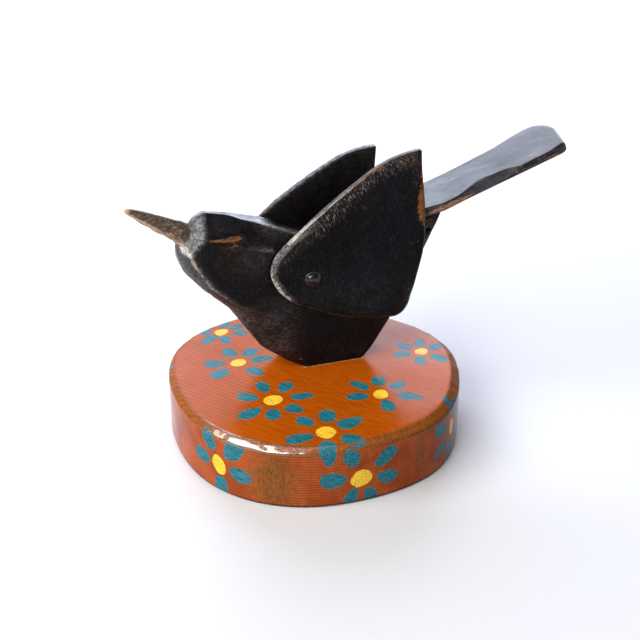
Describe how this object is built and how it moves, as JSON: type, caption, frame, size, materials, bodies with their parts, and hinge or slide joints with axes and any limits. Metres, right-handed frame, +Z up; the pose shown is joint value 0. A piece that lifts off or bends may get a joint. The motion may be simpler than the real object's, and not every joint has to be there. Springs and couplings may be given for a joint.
{
  "type": "bird carving",
  "caption": "Whittled black bird with raised nailed-on wings, a flat upturned tail and a thorn beak, standing on a round painted wooden base with flowers. A tabletop ornament.",
  "frame": {"origin": "middle of the base's flat underside", "axes": "+Z is up, +X runs along the bird from its beak towards its tail, and -Y is the bird's left side"},
  "size_m": [0.1674, 0.1094, 0.1057],
  "materials": {
    "base_paint": "orange-red paint under gloss varnish, painted flowers, worn to brown wood on the edge",
    "body_paint": "gloss black paint over knife cuts, worn to brown wood on the ridges",
    "tail_paint": "gloss black paint, worn to orange wood along the edge",
    "wing_paint": "gloss black paint, worn to brown wood along the edges",
    "nail": "round-headed nail painted over with gloss black",
    "thorn": "rough brown thorn, dry and unpainted"
  },
  "bodies": {
    "root": {"base": "base_paint", "body": "body_paint", "tail": "tail_paint", "wing_left": "wing_paint", "wing_right": "wing_paint", "pin_left": "nail", "pin_right": "nail", "beak": "thorn"}
  },
  "joints": []
}
